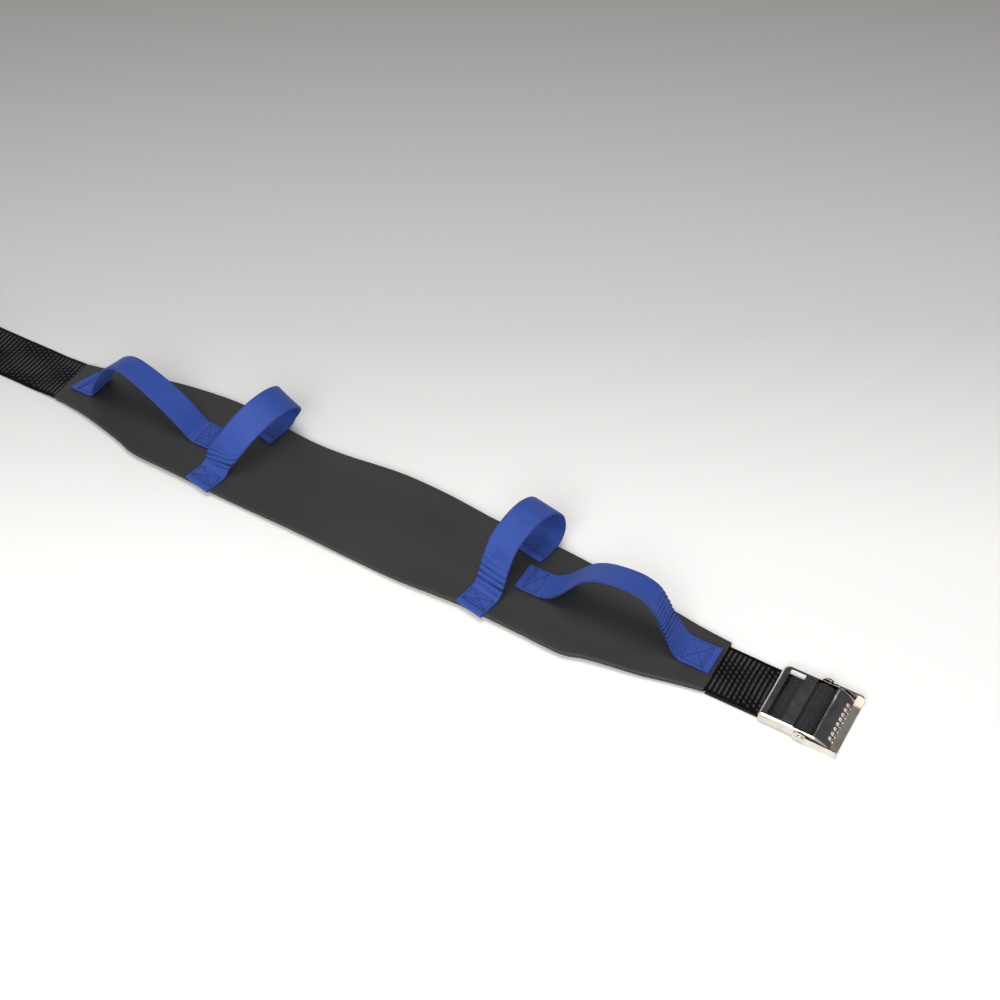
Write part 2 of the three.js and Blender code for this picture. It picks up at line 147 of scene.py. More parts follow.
def math_node(tree, operation, a, b=None):
    made = node(tree, "ShaderNodeMath", operation=operation)
    for socket, value in zip(made.inputs, (a, b)):
        if isinstance(value, (int, float)):
            socket.default_value = value
        elif value is not None:
            join(tree, value, socket)
    return made.outputs[0]


def scaled(tree, value, scale, shift):
    """A value times a scale, plus a number or another value."""
    return math_node(tree, "ADD", math_node(tree, "MULTIPLY", value, scale), shift)


def multiply_colors(tree, first, second):
    made = node(tree, "ShaderNodeMixRGB", blend_type="MULTIPLY", in_Fac=1.0)
    join(tree, first, made.inputs[1])
    join(tree, second, made.inputs[2])
    return made.outputs[0]


def ramp(tree, source, low, high, color_low, color_high):
    """A colour that runs from one to the other as the source goes from low to high."""
    made = node(tree, "ShaderNodeValToRGB")
    made.color_ramp.elements[0].position = low
    made.color_ramp.elements[1].position = high
    made.color_ramp.elements[0].color = (*color_low, 1)
    made.color_ramp.elements[1].color = (*color_high, 1)
    join(tree, source, made.inputs[0])
    return made.outputs[0]


def noise_node(tree, vector, scale, detail=2.0):
    made = node(tree, "ShaderNodeTexNoise", in_Scale=scale, in_Detail=detail)
    join(tree, vector, made.inputs["Vector"])
    return made.outputs["Fac"]


def bump_node(tree, height, strength, distance, shader, normal=None):
    """Bump from a height, over another bump's normal where one is given."""
    made = node(tree, "ShaderNodeBump", in_Strength=strength, in_Distance=distance)
    join(tree, height, made.inputs["Height"])
    if normal is not None:
        join(tree, normal, made.inputs["Normal"])
    if shader is not None:
        join(tree, made.outputs[0], shader.inputs["Normal"])
    return made.outputs[0]


def weave_coordinates(tree):
    """Across and along the band and the height of its face, in millimetres, from the mesh."""
    made = node(tree, "ShaderNodeAttribute", attribute_name="weave")
    split = node(tree, "ShaderNodeSeparateXYZ")
    join(tree, made.outputs["Vector"], split.inputs[0])
    return made.outputs["Vector"], *split.outputs


def object_coordinates(tree):
    return node(tree, "ShaderNodeTexCoord").outputs["Object"]


def wave(tree, value, pitch):
    """A sine of a length in millimetres, from 0 to 1."""
    angle = math_node(tree, "MULTIPLY", value, 2 * math.pi / pitch)
    return scaled(tree, math_node(tree, "SINE", angle), 0.5, 0.5)


# ---------------- materials

def blue_webbing():
    """Flat royal-blue webbing: fine ribs across it, crossed by the warp threads, with painted shade
    darkening its creases.
    """
    material, tree, shader = new_material("blue_webbing", (0.034, 0.075, 0.315), 0.6)
    vector, across, along, height = weave_coordinates(tree)
    ribs = wave(tree, along, 1.05)
    warp = wave(tree, across, 0.9)
    cloth = math_node(tree, "MULTIPLY", ribs, warp)
    blotch = noise_node(tree, vector, 0.09, 2)
    shade = scaled(tree, blotch, 0.2, math_node(tree, "MULTIPLY", cloth, 0.5))
    cloth_color = ramp(tree, shade, 0.05, 0.55, (0.020, 0.054, 0.265), (0.036, 0.088, 0.390))
    # Painted shade: the colour darkens where the face's height drops into a crease; the height comes from
    # each handle's creases.
    painted_crease_shade = ramp(tree, scaled(tree, height, 0.5, 0.5), 0.16, 0.46, (0.16, 0.16, 0.22), (1, 1, 1))
    edge = math_node(tree, "DIVIDE", math_node(tree, "ABSOLUTE", across), HANDLE_WIDTH / 2)
    selvedge = ramp(tree, edge, 0.88, 0.99, (1, 1, 1), (0.62, 0.62, 0.66))
    tint = multiply_colors(tree, cloth_color, multiply_colors(tree, painted_crease_shade, selvedge))
    join(tree, tint, shader.inputs["Base Color"])
    fuzz = noise_node(tree, vector, 2.4, 2)
    bump_node(tree, scaled(tree, fuzz, 0.5, cloth), 0.45, 0.25 * MM, shader)
    shader.inputs["Sheen Weight"].default_value = 0.12
    shader.inputs["Sheen Roughness"].default_value = 0.35
    shader.inputs["Sheen Tint"].default_value = (0.30, 0.45, 1.0, 1)
    shader.inputs["Specular IOR Level"].default_value = 0.28
    return material


# gap is a near-black painted shade for the hollows between ribs; top is the webbing's colour, lifted to a
# painted highlight on the rib crests.
def black_webbing(name="black_webbing", gap=(0.0006, 0.0006, 0.0008), top=(0.046, 0.046, 0.052)):
    """Heavy ribbed webbing; the ribs are in the mesh, and this adds their threads, painted shade in the
    gaps between the ribs and a painted highlight on their crests.
    """
    material, tree, shader = new_material(name, top, 0.45)
    vector, across, along, height = weave_coordinates(tree)
    threads = math_node(tree, "MULTIPLY", wave(tree, across, 0.75), wave(tree, along, 0.6))
    blotch = noise_node(tree, vector, 0.35, 2)
    # Painted shade and highlight: the colour runs from the gap shade in the ribs' hollows to the top colour
    # on their crests, by the face's height.
    level = scaled(tree, height, 1.25, 0.55)
    level = scaled(tree, threads, 0.12, level)
    level = scaled(tree, blotch, 0.3, level)
    color = ramp(tree, level, 0.5, 1.3, gap, top)
    join(tree, color, shader.inputs["Base Color"])
    bump_node(tree, threads, 0.35, 0.2 * MM, shader)
    shader.inputs["Specular IOR Level"].default_value = 0.1
    return material


def vinyl(name, dark, light, roughness):
    """Coated vinyl with a fine leather grain and slow, faint changes of tone."""
    material, tree, shader = new_material(name, light, roughness)
    vector = object_coordinates(tree)
    tone = noise_node(tree, vector, 7.0, 3)
    color = ramp(tree, tone, 0.3, 0.7, dark, light)
    join(tree, color, shader.inputs["Base Color"])
    cells = node(tree, "ShaderNodeTexVoronoi", feature="DISTANCE_TO_EDGE", in_Scale=620.0)
    warped = node(tree, "ShaderNodeMixRGB", blend_type="ADD", in_Fac=0.0015)
    join(tree, vector, warped.inputs[1])
    wander = node(tree, "ShaderNodeTexNoise", in_Scale=260.0)
    join(tree, vector, wander.inputs["Vector"])
    join(tree, wander.outputs["Color"], warped.inputs[2])
    join(tree, warped.outputs[0], cells.inputs["Vector"])
    pores = math_node(tree, "MINIMUM", cells.outputs["Distance"], 0.12)
    scuff = noise_node(tree, vector, 38.0, 4)
    grain = bump_node(tree, pores, 0.35, 0.6 * MM, None)
    bump_node(tree, scuff, 0.10, 1.5 * MM, shader, grain)
    join(tree, scaled(tree, scuff, 0.16, roughness - 0.08), shader.inputs["Roughness"])
    shader.inputs["Specular IOR Level"].default_value = 0.4
    return material


def thread_material():
    """Twisted sewing thread."""
    material, tree, shader = new_material("thread", (0.008, 0.012, 0.055), 0.55)
    vector = object_coordinates(tree)
    twist = node(tree, "ShaderNodeTexWave", in_Scale=900.0, in_Distortion=1.5)
    join(tree, vector, twist.inputs["Vector"])
    color = ramp(tree, twist.outputs["Fac"], 0.2, 0.9, (0.004, 0.007, 0.032), (0.014, 0.020, 0.085))
    join(tree, color, shader.inputs["Base Color"])
    bump_node(tree, twist.outputs["Fac"], 0.5, 0.15 * MM, shader)
    return material


def nickel(name="nickel", dark=(0.63, 0.585, 0.52), light=(0.78, 0.745, 0.69), satin=0.05):
    """Bright nickel plate, a little uneven, with faint rubbing marks."""
    material, tree, shader = new_material(name, light, 0.16, 1.0)
    vector = object_coordinates(tree)
    cloud = noise_node(tree, vector, 90.0, 3)
    stretched = node(tree, "ShaderNodeMapping", in_Scale=(60.0, 1400.0, 400.0))
    join(tree, vector, stretched.inputs["Vector"])
    rub = noise_node(tree, stretched.outputs[0], 1.0, 2)
    tone = ramp(tree, cloud, 0.35, 0.7, dark, light)
    join(tree, tone, shader.inputs["Base Color"])
    gloss = scaled(tree, math_node(tree, "ADD", cloud, rub), 0.11, satin)
    join(tree, gloss, shader.inputs["Roughness"])
    bump_node(tree, rub, 0.06, 0.05 * MM, shader)
    return material


def foam_material():
    """Closed-cell foam: small bubbles."""
    material, tree, shader = new_material("foam", (0.10, 0.10, 0.105), 0.95)
    vector = object_coordinates(tree)
    cells = node(tree, "ShaderNodeTexVoronoi", in_Scale=900.0)
    join(tree, vector, cells.inputs["Vector"])
    color = ramp(tree, cells.outputs["Distance"], 0.1, 0.8, (0.06, 0.06, 0.065), (0.13, 0.13, 0.135))
    join(tree, color, shader.inputs["Base Color"])
    bump_node(tree, cells.outputs["Distance"], 0.6, 0.4 * MM, shader)
    return material


BLUE = blue_webbing()
BLACK = black_webbing()
SEAM_THREAD = black_webbing("black_thread", (0.02, 0.02, 0.022), (0.075, 0.075, 0.08))
VINYL = vinyl("vinyl", (0.021, 0.0215, 0.021), (0.0275, 0.028, 0.0275), 0.55)
LINING = vinyl("lining", (0.018, 0.018, 0.020), (0.026, 0.026, 0.028), 0.62)
THREAD = thread_material()
NICKEL = nickel()
# A darker, browner copy of the nickel with a rougher satin finish: its colour is painted shade for the dim,
# brownish reflection on the base's inner floor.
SHADED_SATIN_NICKEL = nickel("nickel_satin", (0.56, 0.50, 0.43), (0.68, 0.62, 0.55), 0.22)
FOAM = foam_material()


# ---------------- mesh helpers

def smooth(mesh):
    for polygon in mesh.polygons:
        polygon.use_smooth = True


def mesh_object(name, vertices, faces, material):
    """A smooth mesh from millimetres, with one material."""
    mesh = bpy.data.meshes.new(name)
    mesh.from_pydata([tuple(v) for v in np.asarray(vertices, float) * MM], [], faces)
    mesh.materials.append(material)
    smooth(mesh)
    mesh.update()
    return link(bpy.data.objects.new(name, mesh))


def built_object(name, work, material):
    """An object from a bmesh in metres, with its faces turned outwards."""
    bmesh.ops.recalc_face_normals(work, faces=work.faces)
    mesh = bpy.data.meshes.new(name)
    work.to_mesh(mesh)
    work.free()
    mesh.materials.append(material)
    return link(bpy.data.objects.new(name, mesh))


def set_weave(obj, coordinates):
    """Stores (across, along, height) in millimetres at each vertex, for the cloth materials."""
    attribute = obj.data.attributes.new("weave", "FLOAT_VECTOR", "POINT")
    attribute.data.foreach_set("vector", np.asarray(coordinates, np.float32).ravel())


def outward(obj):
    """Turns every face of a closed mesh outwards."""
    work = bmesh.new()
    work.from_mesh(obj.data)
    bmesh.ops.recalc_face_normals(work, faces=work.faces)
    work.to_mesh(obj.data)
    work.free()


def grid_shell_faces(rows, columns):
    """Faces of a closed sheet made of an upper and a lower grid of points."""
    lower = rows * columns
    faces = []
    for i in range(rows - 1):
        for j in range(columns - 1):
            a, d = i * columns + j, (i + 1) * columns + j
            b, c = a + 1, d + 1
            faces.append((a, d, c, b))
            faces.append((lower + a, lower + b, lower + c, lower + d))
    rim = [(0, j) for j in range(columns)] + [(i, columns - 1) for i in range(1, rows)]
    rim += [(rows - 1, j) for j in range(columns - 2, -1, -1)] + [(i, 0) for i in range(rows - 2, 0, -1)]
    for (i, j), (k, m) in zip(rim, rim[1:] + rim[:1]):
        a, b = i * columns + j, k * columns + m
        faces.append((a, b, lower + b, lower + a))
    return faces


def smoothstep(value, low=0.0, high=1.0):
    share = np.clip((np.asarray(value, float) - low) / (high - low), 0, 1)
    return share * share * (3 - 2 * share)


def run_of(places):
    """The distance along a line of points."""
    return np.concatenate([[0], np.cumsum(np.linalg.norm(np.diff(places, axis=0), axis=1))])


SPLINE_STEPS = 24  # between one point and the next, before the curve is resampled


def spline(points, step):
    """A centripetal Catmull-Rom curve through rows of numbers, resampled at an even step
    measured over the first three columns."""
    rows = np.array(points, float)
    rows = np.vstack([2 * rows[0] - rows[1], rows, 2 * rows[-1] - rows[-2]])
    fine = []
    for i in range(1, len(rows) - 2):
        p = rows[i - 1:i + 3]
        knots = [0.0]
        for a, b in zip(p[:-1], p[1:]):
            knots.append(knots[-1] + math.sqrt(np.linalg.norm((b - a)[:3])))
        t0, t1, t2, t3 = knots
        for t in np.linspace(t1, t2, SPLINE_STEPS, endpoint=False):
            a1 = (t1 - t) / (t1 - t0) * p[0] + (t - t0) / (t1 - t0) * p[1]
            a2 = (t2 - t) / (t2 - t1) * p[1] + (t - t1) / (t2 - t1) * p[2]
            a3 = (t3 - t) / (t3 - t2) * p[2] + (t - t2) / (t3 - t2) * p[3]
            b1 = (t2 - t) / (t2 - t0) * a1 + (t - t0) / (t2 - t0) * a2
            b2 = (t3 - t) / (t3 - t1) * a2 + (t - t1) / (t3 - t1) * a3
            fine.append((t2 - t) / (t2 - t1) * b1 + (t - t1) / (t2 - t1) * b2)
    fine.append(rows[-2])
    fine = np.array(fine)
    length = run_of(fine[:, :3])
    count = max(2, int(round(length[-1] / step)) + 1)
    at = np.linspace(0, length[-1], count)
    return np.stack([np.interp(at, length, fine[:, k]) for k in range(fine.shape[1])], 1)


EDGE_ANGLES = np.radians([90, 60, 30])  # where the rounded edge of a band has its points
EDGE_LEFT = 0.12  # the least height of a band's edge, as a share of half its thickness


def band(name, places, widths, width, thickness, column, material, wave_at=None, relief=None,
         tone=None, skew=None, pinch=None):
    """A closed strip of webbing with rounded edges along a line of points. wave_at moves the whole
    strip, relief raises both faces, skew slides it lengthwise, and tone is kept for the material as
    the height of the face, together with relief's lift; the materials paint shade from that height, in the
    handles' creases and between the strap's ribs. Each is a function of (across, along), in millimetres.
    pinch gathers the strip's width: its middle along the strip, its reach, and the share that it takes
    away."""
    def given(function):
        return np.zeros_like(u) if function is None else function(u, s)

    places = np.asarray(places, float)
    along = run_of(places)
    tangents = np.gradient(places, along, axis=0)
    tangents /= np.linalg.norm(tangents, axis=1, keepdims=True)
    widths = widths - tangents * np.sum(widths * tangents, axis=1, keepdims=True)
    widths /= np.linalg.norm(widths, axis=1, keepdims=True)
    normals = np.cross(tangents, widths)
    edge = thickness / 2
    inner = np.linspace(-(width / 2 - edge), width / 2 - edge, int(round(width / column)) + 1)
    left = -(width / 2 - edge) - edge * np.sin(EDGE_ANGLES)
    across = np.concatenate([left, inner, -left[::-1]])
    fall = edge * np.cos(EDGE_ANGLES)
    rise = np.concatenate([fall, np.full(len(inner), edge), fall[::-1]])
    rise = np.maximum(rise, EDGE_LEFT * edge)
    u, s = np.meshgrid(across, along)
    shift, creases, slide = given(wave_at), given(tone), given(skew)
    lift = given(relief) * smoothstep(rise / edge, 0.3, 1.0)
    wide = u
    if pinch is not None:
        centre, reach, share = pinch
        wide = u * (1 - share * np.exp(-(((s - centre) / reach) ** 2)))
    middle = places[:, None, :] + widths[:, None, :] * wide[..., None]
    middle = middle + tangents[:, None, :] * slide[..., None]
    vertices, weave = [], []
    for side in (1, -1):
        offset = shift + side * (rise[None, :] + lift)
        vertices.append((middle + normals[:, None, :] * offset[..., None]).reshape(-1, 3))
        weave.append(np.stack([u, s, side * creases + lift], -1).reshape(-1, 3))
    obj = mesh_object(name, np.concatenate(vertices), grid_shell_faces(*u.shape), material)
    set_weave(obj, np.concatenate(weave))
    outward(obj)
    return obj


# ---------------- strap webbing

STRAP_FACE = STRAP_THICK / 2 - 0.15  # from the middle of the strap to its face, between the ribs
RIB_PITCH = 4.2
BEAD_PITCH = 4.7
RIB_DEPTH = 0.8
SELVEDGE = 4.2
STRAP_COLUMN = 0.9  # between points across the strap


def strap_relief(across, along):
    """Ribs across the strap, broken here and there into staggered beads; the edges are plain."""
    drift = 0.35 * np.sin(across * 0.09 + along * 0.017) + 0.25 * np.sin(along * 0.041 - across * 0.05)
    turn = 2 * math.pi * (along + drift) / RIB_PITCH
    ribs = (0.5 + 0.5 * np.cos(turn)) ** 0.75
    beads = 0.5 + 0.5 * np.cos(2 * math.pi * across / BEAD_PITCH + turn / 2 + 0.8 * np.sin(along * 0.07))
    slow = np.sin(along * 0.085 + across * 0.13) + np.sin(along * 0.051 - across * 0.17 + 1.3)
    broken = np.clip(0.46 + 0.26 * slow, 0.08, 0.92)
    plain = smoothstep(STRAP_WIDTH / 2 - np.abs(across), 1.6, SELVEDGE)
    return RIB_DEPTH * (plain * ribs * (1 - broken * (1 - beads)) - 0.55)


TURN_STEPS = 44  # points in one turn of the roll


def spiral(centre_x, floor_z, outer, core, pitch):
    """The wound end of the tail, seen from the side: (x, z) points from the outside in."""
    centre_z = floor_z + outer
    turns = (outer - core) / pitch
    angles = np.linspace(0, 2 * math.pi * turns, int(turns * TURN_STEPS))
    radii = outer - pitch * angles / (2 * math.pi)
    return [(centre_x - r * math.sin(a), centre_z - r * math.cos(a)) for a, r in zip(angles, radii)]


def strap_band(name, line, step, relief):
    """A run of the strap along (x, z) points, with the places that it passes."""
    places = spline([(x, 0.0, z) for x, z in line], step)
    across = np.tile([0.0, 1.0, 0.0], (len(places), 1))
    obj = band(name, places, across, STRAP_WIDTH, 2 * STRAP_FACE, STRAP_COLUMN, BLACK, relief=relief)
    return obj, places


ROLL_CORE = 4.6  # radius of the roll's first turn
ROLL_PITCH = 2.3  # from one turn of the roll to the next


def make_tail():
    """The strap's free end: down from the pad, along the floor and into a roll."""
    floor_z = STRAP_FACE + 0.45 * RIB_DEPTH + 0.05
    inside_z = (CORE_LOW[2] + CORE_HIGH[2]) / 2
    roll_x = (ROLL_LOW[0] + ROLL_HIGH[0]) / 2
    outer = (ROLL_HIGH[2] - floor_z - STRAP_THICK / 2) / 2
    run = [(-PAD_END + 9, inside_z), (-PAD_END + 2, inside_z + 0.9), (-PAD_END - 12, inside_z + 0.4),
           (-PAD_END - 28, floor_z + 0.2), (-PAD_END - 45, floor_z + 0.4), (-PAD_END - 75, floor_z),
           (-PAD_END - 100, floor_z), (roll_x + 10, floor_z)]
    wound = spiral(roll_x, floor_z, outer, ROLL_CORE, ROLL_PITCH)
    obj, places = strap_band("tail_webbing", run + wound, 0.85, strap_relief)
    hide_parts("tail_strap", "tail_roll")
    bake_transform(obj)


LAYER_GAP = 0.3  # between the strap and its return under itself
LOOP_HEIGHT = 4.0  # from the pin up to the middle of the loop
LOOP_REACH = 7.4  # from the pin out to the loop's far turn


def make_buckle_webbing():
    """The strap from the pad to the pin, round it and back under itself."""
    low_z = STRAP_THICK / 2
    high_z = low_z + STRAP_THICK + LAYER_GAP
    line = [(PAD_END - 9, high_z + 0.6), (PAD_END, high_z + 0.9), (PAD_END + 14, high_z + 0.7),
            (PAD_END + 34, high_z + 0.2), (PIN_X - 30, high_z), (PIN_X - 17, high_z + 0.3),
            (PIN_X - 10, high_z + 3.3), (PIN_X - 4.6, PIN_Z + 3.3), (PIN_X, PIN_Z + LOOP_HEIGHT),
            (PIN_X + 4.2, PIN_Z + 2.9), (PIN_X + LOOP_REACH, PIN_Z - 0.2), (PIN_X + 6.4, PIN_Z - 3.2),
            (PIN_X + 2, low_z + 0.5), (PIN_X - 8, low_z + 0.1), (PIN_X - 16, low_z), (PIN_X - 40, low_z),
            (PAD_END + 1.4, low_z)]
    worn_from = FRAME_LOW[0] - line[0][0]

    def relief(across, along):
        """The ribs are pressed flat where the strap passes under the frame and round the pin."""
        worn = smoothstep(along, worn_from, worn_from + 12)
        return strap_relief(across, along) * (1 - 0.9 * worn) + 0.06 * worn

    obj, places = strap_band("buckle_webbing", line, 0.8, relief)
    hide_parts("buckle_strap")
    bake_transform(obj)


make_tail()
make_buckle_webbing()


# ---------------- the pad

# Half-widths of the pad along its length, to its far (back) edge and its near (front) edge.
BACK_EDGE = [
    (-333.8, 24.5), (-304, 31), (-274, 38.5), (-245, 46.5), (-212, 51.5), (-178, 53.5), (-140, 51),
    (-112, 48), (-85, 46.5), (-53, 47.5), (-29, 50), (0, 53), (27, 53.5), (52, 52.5), (76, 50),
    (100, 47.5), (132, 48), (160, 48.5), (188, 47), (223, 43), (249, 39.5), (272, 36), (304, 32),
    (333.8, 29.5),
]
FRONT_EDGE = [
    (-333.8, 26), (-301, 29.5), (-273, 35), (-246, 41.5), (-232, 46.2), (-222, 47.8), (-195, 48.5),
    (-165, 49.2), (-138, 50), (-63, 50.5), (11, 51.8), (62, 52.6), (91, 51), (115, 49.5), (144, 49.6),
    (178, 50.5), (202, 51.8), (219, 51.6), (234, 46.8), (253, 43), (278, 38.5), (307, 31.5), (333.8, 26),
]
PAD_STEP = 2.4


def pad_half_widths(x):
    curves = [spline([(a, b, 0.0) for a, b in edge], 1.5) for edge in (BACK_EDGE, FRONT_EDGE)]
    return [np.interp(x, curve[:, 0], curve[:, 1]) for curve in curves]


def edge_lift(x, y_share, side):
    """How far the pad's thin edges rise off the table, in slow waves."""
    rolling = 0.5 + 0.5 * np.sin(x * 0.031 + side * 1.9) * np.cos(x * 0.0137 + side * 0.7)
    return 2.3 * rolling * smoothstep(np.abs(y_share), 0.5, 1.0) * (1 - smoothstep(np.abs(x), 270, 325))


EDGE_ROUND = 1.9  # how far in from its edge the pad's top is rounded
EDGE_HEIGHT = 3.9
UNDERCUT = 2.0  # the lower skin is sewn this far inside the upper one's edge
TOP_SKIN = 0.6
BACK_SKIN = 0.8
SEAM_ROOM = 0.95  # least height from the bottom of the lower skin to the upper skin's inside


def pad_surface(x, share, half, top):
    """Height of the pad's upper or lower skin. share runs from -1 at the near edge to 1 at the far."""
    side = np.sign(share)
    inset = (1 - np.abs(share)) * half
    shoulder = np.sqrt(1 - (1 - np.clip(inset / EDGE_ROUND, 0, 1)) ** 2)
    base = edge_lift(x, share, side)
    full = PAD_TOP - 0.1
    dimple = 0.35 * np.sin(x * 0.045 + 2.1 * share) * np.sin(share * 2.6 + x * 0.021)
    dimple = dimple + 0.22 * np.sin(x * 0.11 - 3.0 * share + 0.8)
    dimple = 0.3 * np.tanh(2.5 * dimple * smoothstep(inset, 2, 22)) - 0.05
    if top:
        return base + EDGE_HEIGHT + (full - EDGE_HEIGHT) * shoulder + dimple
    return base * (1 - 0.15 * shoulder) + 0.3 * (1 - shoulder)


def make_pad():
    """Two skins sewn edge to edge: the front cover wraps over the foam, the back cover lies flat."""
    xs = np.linspace(-PAD_END, PAD_END, int(2 * PAD_END / PAD_STEP) + 1)
    back, front = pad_half_widths(xs)
    rim = 1 - np.array([0.0, 0.002, 0.006, 0.012, 0.020, 0.030, 0.042, 0.065])
    positive = np.concatenate([np.linspace(0, 0.9, 18), rim[::-1]])
    shares = np.concatenate([-positive[:0:-1], positive])
    x, share = np.meshgrid(xs, shares, indexing="ij")
    half = np.where(share > 0, back[:, None], front[:, None])
    y = share * half
    sewn = pad_surface(x, share, half, False) + SEAM_ROOM
    for name, top, material, cad, slot in (
        ("pad_front", True, VINYL, ["front_cover"], "vinyl"),
        ("pad_back", False, LINING, ["back_cover"], "lining"),
    ):
        outer = pad_surface(x, share, half, top)
        if top:
            inner = np.maximum(pad_surface(x, share * 0.985, half, True) - TOP_SKIN, sewn)
            inner = np.where(np.abs(share) > 0.999, sewn, inner)
        else:
            outer = np.maximum(outer, 0.02)
            inner = outer + BACK_SKIN
        upper, lower = (outer, inner) if top else (inner, outer)
        tuck = 1 - UNDERCUT / half
        pulls = (np.ones_like(tuck), tuck) if top else (tuck, tuck)
        points = np.concatenate([
            np.stack([x, y * pull, z], -1).reshape(-1, 3) for pull, z in zip(pulls, (upper, lower))])
        obj = mesh_object(name, points, grid_shell_faces(*x.shape), material)
        outward(obj)
        round_edges(obj, 0.35, 2, 50)
        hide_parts(*cad)
        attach(obj, "belt")


def round_edges(obj, width, segments, angle):
    """Rounds every edge sharper than the angle, in millimetres and degrees."""
    bevel = obj.modifiers.new("rounded", "BEVEL")
    bevel.width = width * MM
    bevel.segments = segments
    bevel.limit_method = "ANGLE"
    bevel.angle_limit = math.radians(angle)
    apply_modifiers(obj)


def apply_modifiers(obj):
    graph = bpy.context.evaluated_depsgraph_get()
    mesh = bpy.data.meshes.new_from_object(obj.evaluated_get(graph))
    obj.modifiers.clear()
    obj.data = mesh


make_pad()


# ---------------- handles

TWIST_HEIGHT = 34.0

# (distance along the chord, height above the tab, roll of the band about its length in degrees)
LENGTHWISE_LEFT = [
    (-24, 0), (-12, 0), (-2, 0), (2.5, 2, 2), (6, 10, 9), (14, 27, 16), (25, 42.5, 17), (39, 49.5, 15),
    (54, 45.5, 10), (76, 33.5, 3), (95, 19), (106, 8), (113, 1.5), (118, 0), (128, 0), (140, 0),
]
LENGTHWISE_RIGHT = [
    (-21, 0), (-10, 0), (-1, 0), (5, 1.2), (14, 7), (23, 17, 2), (32, 29, 5), (41, 40.5, 9),
    (53, 49, 12), (69, 53.5, 14), (86, 54, 15), (99, 49, 15), (108, 38.5, 14), (115, 25, 12),
    (122, 12.5, 8), (128, 3.5, 3), (133, 0), (145, 0), (160, 0),
]
CROSSWISE = [
    (-23, 0), (-11, 0), (-3, 0.2), (2, 3), (6.5, 11), (13.5, 28), (23, 43), (36, 50), (49, 53),
    (62, 52), (76, 45), (86, 31), (88.5, 15), (85, 5.5), (80, 1.4), (74, 0.3), (66, 0), (55, 0),
]
CROSSWISE_FULL = [
    (-23, 0), (-11, 0), (-3, 0.2), (2, 3), (6.5, 11), (13.5, 28), (23, 43.5), (36, 51.3), (49, 54.5),
    (62, 53.5), (75, 48), (84.5, 38.5), (89.5, 26), (89.5, 13), (85.5, 5), (80, 1.4), (74, 0.3),
    (66, 0), (55, 0),
]


def gathers(centre, reach, pitch, depth, fan=0.0):
    """Creases across a leg, strongest at its middle, a little uneven across the band. fan spreads
    them at one edge, where the leg turns off to the side."""
    def at(across, along):
        along = FLAT_TAB + (along - FLAT_TAB) * (1 + fan * across / (HANDLE_WIDTH / 2))
        near = np.exp(-(((along - centre) / reach) ** 2))
        uneven = 0.3 * np.sin(across * 0.16 + along * 0.2) + 0.35 * np.sin(along * 1.7)
        phase = 2 * math.pi * along / pitch + uneven
        pleat = 2 * np.abs(np.sin(phase / 2)) ** 0.7 - 1.25
        return depth * near * pleat * (0.75 + 0.25 * np.sin(across * 0.21 + along * 0.13))
    return at


def slow_wave(size, seed):
    """A band is never quite true: a slow ripple along it and a slight cupping."""
    def at(across, along):
        ripple = np.sin(along * 0.061 + seed) * np.sin(along * 0.023 + 2 * seed + across * 0.05)
        cupping = (np.abs(across) / (HANDLE_WIDTH / 2)) ** 2 * np.sin(along * 0.04 + seed)
        return size * (ripple + 0.5 * cupping)
    return at


HANDLES = [
    dict(name="handle_1", line=LENGTHWISE_LEFT, sewn=(-303, 4), heading=0, lean=0,
         skew=0.34, folds=[(180, 5, 4.2, 0.25)]),
    dict(name="handle_2", line=CROSSWISE_FULL, sewn=(-148, -28), heading=79.5, lean=20,
         folds=[(35, 10, 5.2, 1.1, 0.5)]),
    dict(name="handle_3", line=CROSSWISE, sewn=(132.5, -28), heading=79.5, lean=0,
         folds=[(36, 13, 6.2, 1.15), (60, 12, 3.0, 0.45)]),
    dict(name="handle_4", line=LENGTHWISE_RIGHT, sewn=(171, 3.5), heading=0, lean=0,
         pinch=(168, 17, 0.16), folds=[(169, 17, 4.4, 1.8), (27, 7, 5.0, 0.5)]),
]
HEM = 5.5
HEM_RISE = 0.75
FLAT_TAB = 20.0


def handle_axes(handle):
    """The directions along a handle's chord and across it, on the pad."""
    angle = math.radians(handle["heading"])
    along = np.array([math.cos(angle), math.sin(angle), 0])
    return along, np.array([-along[1], along[0], 0])


def handle_line(handle):
    """Centre points and width directions of a handle, every 0.6 mm from one sewn end to the other."""
    along, across = handle_axes(handle)
    rows = []
    for distance, height, *roll in handle["line"]:
        share = float(smoothstep(height, 0, TWIST_HEIGHT))
        tip = -math.radians(handle["lean"]) * share
        turn = tip + math.radians(roll[0] if roll else 0)
        up = np.array([0, 0, math.cos(tip)]) + across * math.sin(tip)
        place = np.array([*handle["sewn"], TAB_MIDDLE]) + along * distance + up * height
        side = across * math.cos(turn) + np.array([0, 0, -math.sin(turn)])
        rows.append(np.concatenate([place, side]))
    line = spline(rows, 0.6)
    line[:, 2] = np.maximum(line[:, 2], TAB_MIDDLE)
    return line[:, :3], line[:, 3:]


def end_skew(handle, distance, across):
    """How far a slanting first end pulls back, at a distance from that end and a place across it."""
    return handle.get("skew", 0) * (across + HANDLE_WIDTH / 2) * (1 - smoothstep(distance, 0, 26))


